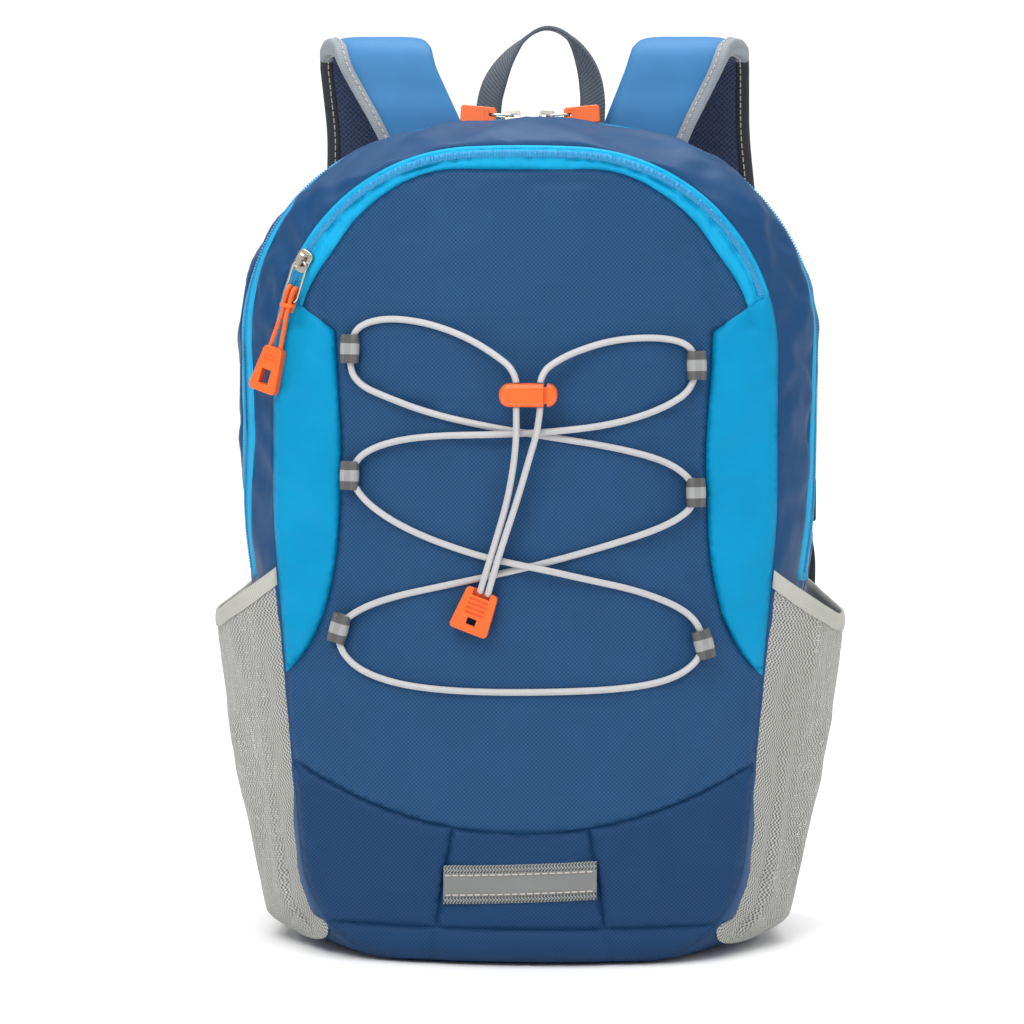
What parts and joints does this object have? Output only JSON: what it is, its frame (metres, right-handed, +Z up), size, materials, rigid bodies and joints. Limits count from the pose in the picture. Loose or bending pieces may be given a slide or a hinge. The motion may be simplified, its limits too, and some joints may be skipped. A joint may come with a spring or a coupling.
{
  "type": "daypack",
  "caption": "Small zipped daypack with padded shoulder straps, mesh side pockets, a laced shock cord with a cord lock, and a haul loop.",
  "frame": {"origin": "on the floor under the base, midway between the mesh pockets", "axes": "+Z up, -Y out of the front, +Y towards the wearer, +X to the right as seen from the front"},
  "size_m": [0.3378, 0.2359, 0.492],
  "materials": {
    "blue_oxford": "600D polyester oxford weave",
    "blue_nylon": "smooth nylon, slight sheen",
    "cyan_nylon": "smooth nylon",
    "zip_cyan": "woven zip tape and coil",
    "mesh_grey": "stretch mesh knit",
    "webbing_grey": "woven webbing",
    "binding_grey": "twill binding",
    "reflective_silver": "matt retroreflective tape",
    "cord_grey": "braided shock cord",
    "pad_mesh": "air mesh over foam",
    "orange_plastic": "moulded, satin",
    "orange_cord": "braided cord",
    "nickel": "nickel-plated zinc",
    "spring_steel": "spring wire",
    "black_plastic": "moulded acetal"
  },
  "bodies": {
    "bag": {"back_panel": "pad_mesh", "base_panel": "blue_oxford", "bungee_lacing": "cord_grey", "bungee_lead_left": "cord_grey", "bungee_lead_right": "cord_grey", "bungee_tail_left": "cord_grey", "bungee_tail_right": "cord_grey", "cord_end_clip": "orange_plastic", "cord_loop_left_1": "webbing_grey", "cord_loop_left_2": "webbing_grey", "cord_loop_left_3": "webbing_grey", "cord_loop_right_1": "webbing_grey", "cord_loop_right_2": "webbing_grey", "cord_loop_right_3": "webbing_grey", "front_gusset": "blue_nylon", "front_panel": "blue_oxford", "front_pocket_divider": "blue_oxford", "front_zip_coil": "zip_cyan", "front_zip_tape_inner": "zip_cyan", "front_zip_tape_outer": "zip_cyan", "lower_center_panel": "blue_oxford", "lower_panel_left": "blue_oxford", "lower_panel_right": "blue_oxford", "main_zip_coil": "zip_cyan", "main_zip_tape_front": "zip_cyan", "main_zip_tape_rear": "zip_cyan", "mesh_pocket_left": "mesh_grey", "mesh_pocket_right": "mesh_grey", "pocket_hem_left": "mesh_grey", "pocket_hem_right": "mesh_grey", "rear_gusset": "blue_nylon", "reflective_tape": "reflective_silver", "reflective_webbing": "webbing_grey", "side_accent_left": "cyan_nylon", "side_accent_right": "cyan_nylon", "strap_webbing_left": "webbing_grey", "strap_webbing_right": "webbing_grey", "webbing_anchor_left": "blue_nylon", "webbing_anchor_right": "blue_nylon"},
    "front_slider": {"front_zip_slider": "nickel"},
    "front_pull": {"front_pull_ring": "nickel", "front_pull_cord": "orange_cord", "front_pull_grip": "orange_plastic"},
    "main_slider_left": {"main_slider_left": "nickel"},
    "main_slider_right": {"main_slider_right": "nickel"},
    "main_pull_left": {"main_pull_ring_left": "nickel", "main_pull_grip_left": "orange_plastic"},
    "main_pull_right": {"main_pull_ring_right": "nickel", "main_pull_grip_right": "orange_plastic"},
    "cord_lock": {"cord_lock_body": "orange_plastic", "cord_lock_spring": "spring_steel"},
    "lock_button": {"cord_lock_button": "orange_plastic"},
    "haul_loop": {"haul_loop": "webbing_grey"},
    "strap_left": {"shoulder_strap_left": "blue_nylon", "strap_binding_left": "binding_grey"},
    "strap_right": {"shoulder_strap_right": "blue_nylon", "strap_binding_right": "binding_grey"},
    "ladder_lock_left": {"ladder_lock_left": "black_plastic"},
    "ladder_lock_right": {"ladder_lock_right": "black_plastic"}
  },
  "joints": [
    {"name": "front_zip_travel", "type": "hinge", "parent": "bag", "child": "front_slider", "pos_m": [-0.023, -0.04725, 0.3165], "axis": [0.1866, 0.9799, 0.0707], "range_deg": [0, 35]},
    {"name": "front_pull_swing", "type": "hinge", "parent": "front_slider", "child": "front_pull", "pos_m": [-0.117, -0.03695, 0.36627], "axis": [-0.8747, 0.387, 0.2917], "range_deg": [0, 100]},
    {"name": "main_zip_travel_right", "type": "hinge", "parent": "bag", "child": "main_slider_right", "pos_m": [0, -0.01133, 0.1376], "axis": [0, 0.9925, -0.1219], "range_deg": [0, 7.5]},
    {"name": "main_zip_travel_left", "type": "hinge", "parent": "bag", "child": "main_slider_left", "pos_m": [0, -0.01133, 0.1376], "axis": [0, -0.9925, 0.1219], "range_deg": [0, 7.5]},
    {"name": "main_pull_swing_right", "type": "hinge", "parent": "main_slider_right", "child": "main_pull_right", "pos_m": [0.00908, 0.02601, 0.4411], "axis": [0.0057, -0.9816, 0.1907], "range_deg": [0, 110]},
    {"name": "main_pull_swing_left", "type": "hinge", "parent": "main_slider_left", "child": "main_pull_left", "pos_m": [-0.00908, 0.02601, 0.4411], "axis": [0.0057, 0.9816, -0.1907], "range_deg": [0, 110]},
    {"name": "cord_lock_slide", "type": "slide", "parent": "bag", "child": "cord_lock", "axis": [-0.2206, -0.0644, -0.9732], "range_m": [0, 0.05], "deforming": ["bungee_lead_left", "bungee_lead_right", "bungee_tail_left", "bungee_tail_right"]},
    {"name": "cord_lock_press", "type": "slide", "parent": "cord_lock", "child": "lock_button", "axis": [-1, 0, 0], "range_m": [0, 0.0014], "stiffness_N_per_m": 300, "springref_m": -0.003, "deforming": ["cord_lock_spring"]},
    {"name": "haul_loop_fold", "type": "hinge", "parent": "bag", "child": "haul_loop", "pos_m": [0, 0.081, 0.435], "axis": [1, 0, 0], "range_deg": [-45, 45]},
    {"name": "strap_swing_right", "type": "hinge", "parent": "bag", "child": "strap_right", "pos_m": [0.06, 0.088, 0.415], "axis": [1, 0, 0], "range_deg": [-3, 10], "deforming": ["strap_webbing_right"]},
    {"name": "ladder_lock_tilt_right", "type": "hinge", "parent": "strap_right", "child": "ladder_lock_right", "pos_m": [0.139, 0.1385, 0.236], "axis": [1, 0, 0], "range_deg": [-20, 35], "deforming": ["strap_webbing_right"]},
    {"name": "strap_swing_left", "type": "hinge", "parent": "bag", "child": "strap_left", "pos_m": [-0.06, 0.088, 0.415], "axis": [1, 0, 0], "range_deg": [-3, 10], "deforming": ["strap_webbing_left"]},
    {"name": "ladder_lock_tilt_left", "type": "hinge", "parent": "strap_left", "child": "ladder_lock_left", "pos_m": [-0.139, 0.1385, 0.236], "axis": [1, 0, 0], "range_deg": [-20, 35], "deforming": ["strap_webbing_left"]}
  ]
}
